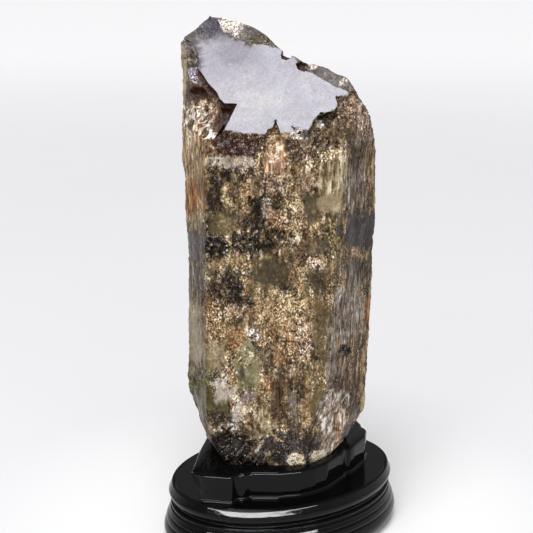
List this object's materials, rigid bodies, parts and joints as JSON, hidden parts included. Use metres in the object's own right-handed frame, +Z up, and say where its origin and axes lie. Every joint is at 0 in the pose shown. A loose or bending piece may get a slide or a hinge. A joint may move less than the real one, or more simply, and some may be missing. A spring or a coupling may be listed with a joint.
{
  "type": "smoky quartz crystal on a stand",
  "caption": "Tall six-sided smoky quartz crystal with one large sloping polished face, standing upright in the socket of a black lacquered oval moulded stand.",
  "frame": {"origin": "on the surface that the stand rests on, under the centre of the stand's oval foot", "axes": "+Z up along the crystal, -Y the front, where the large sloping face looks out and up"},
  "size_m": [0.1272, 0.1102, 0.2736],
  "materials": {
    "smoky_quartz": "translucent grey-brown quartz, grainy and streaked sides, one smooth pale polished face",
    "black_lacquer": "carved wood under thick black gloss lacquer"
  },
  "bodies": {
    "root": {"crystal": "smoky_quartz", "stand": "black_lacquer"}
  },
  "joints": []
}
